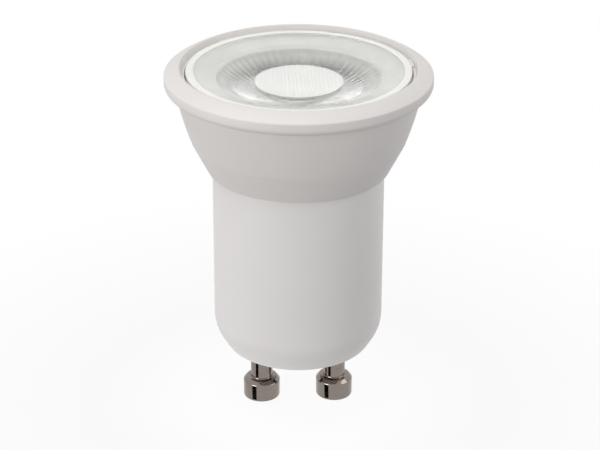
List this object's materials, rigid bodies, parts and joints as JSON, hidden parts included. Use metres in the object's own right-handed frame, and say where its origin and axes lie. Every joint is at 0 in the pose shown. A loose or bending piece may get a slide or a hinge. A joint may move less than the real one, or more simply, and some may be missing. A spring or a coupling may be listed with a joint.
{
  "type": "twist-base spotlight bulb",
  "caption": "Small reflector-shaped spotlight bulb: flanged white cup with a clear dished lens, cylindrical base with a bevelled end, and two headed contact pins.",
  "frame": {"origin": "on the lamp's axis, at the level of the two pins' flat ends, on which it stands", "axes": "+Z along the lamp's axis towards the lens; X through both pins"},
  "size_m": [0.035, 0.035, 0.0486],
  "materials": {
    "base_plastic": "moulded white thermoplastic, smooth satin",
    "black_epoxy": "moulded black epoxy with tinned feet",
    "black_sleeve": "shrunk black sleeve",
    "board_aluminium": "white solder mask over aluminium",
    "chip_ceramic": "small ceramic chips",
    "clear_lens": "clear moulded acrylic, polished",
    "copper_wire": "enamelled copper wire",
    "ferrite": "sintered ferrite",
    "fibreglass_board": "green solder mask over fibreglass",
    "film_case": "moulded yellow case",
    "head_plastic": "moulded white thermoplastic, fine matt texture",
    "lead_black": "silicone insulated wire",
    "lead_blue": "silicone insulated wire",
    "lead_brown": "silicone insulated wire",
    "lead_white": "silicone insulated wire",
    "led_ceramic": "white fired ceramic",
    "nickel": "nickel-plated turned brass",
    "phosphor": "yellow phosphor in silicone",
    "resistor_coat": "baked lacquer coat",
    "silicone_pad": "soft grey thermal pad",
    "sink_aluminium": "pressed sheet, satin",
    "steel_screw": "zinc-plated steel"
  },
  "bodies": {
    "root": {"base_shell": "base_plastic", "board_screws": "steel_screw", "bridge_rectifier": "black_epoxy", "bulk_capacitor": "black_sleeve", "chip_capacitors": "chip_ceramic", "chip_resistors": "chip_ceramic", "contact_pin_left": "nickel", "contact_pin_right": "nickel", "driver_board": "fibreglass_board", "driver_chip": "black_epoxy", "film_capacitor": "film_case", "freewheel_diode": "black_epoxy", "fusible_resistor": "resistor_coat", "head_shell": "head_plastic", "heat_sink": "sink_aluminium", "inductor_core": "ferrite", "inductor_winding": "copper_wire", "led_board": "board_aluminium", "led_lead_negative": "lead_black", "led_lead_positive": "lead_white", "led_package": "led_ceramic", "led_phosphor": "phosphor", "lens": "clear_lens", "live_lead": "lead_brown", "neutral_lead": "lead_blue", "output_capacitor": "black_sleeve", "thermal_pad": "silicone_pad"}
  },
  "joints": []
}
